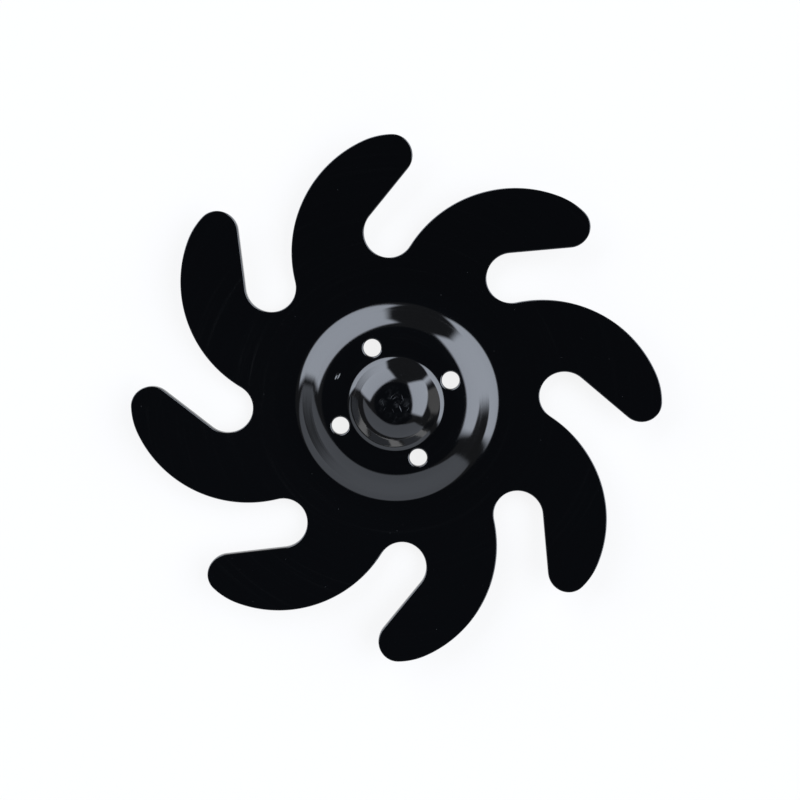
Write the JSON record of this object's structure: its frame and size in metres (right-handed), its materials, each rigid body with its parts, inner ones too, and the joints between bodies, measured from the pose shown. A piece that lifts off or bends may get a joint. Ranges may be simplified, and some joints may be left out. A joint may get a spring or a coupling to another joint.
{
  "type": "harrow disc blade",
  "caption": "Dished finger-type harrow disc blade of pressed sheet steel, with curved fingers, a raised hub ring, a centre dome and a circle of bolt holes.",
  "frame": {"origin": "on the blade's axis, in the plane of the flat ring on its back that it lies on", "axes": "+Z along the blade's axis, out of the dome; +X through the tip of one finger"},
  "size_m": [0.33, 0.33, 0.0262],
  "materials": {
    "black_enamel": "gloss"
  },
  "bodies": {
    "root": {"disc_blade": "black_enamel"}
  },
  "joints": []
}
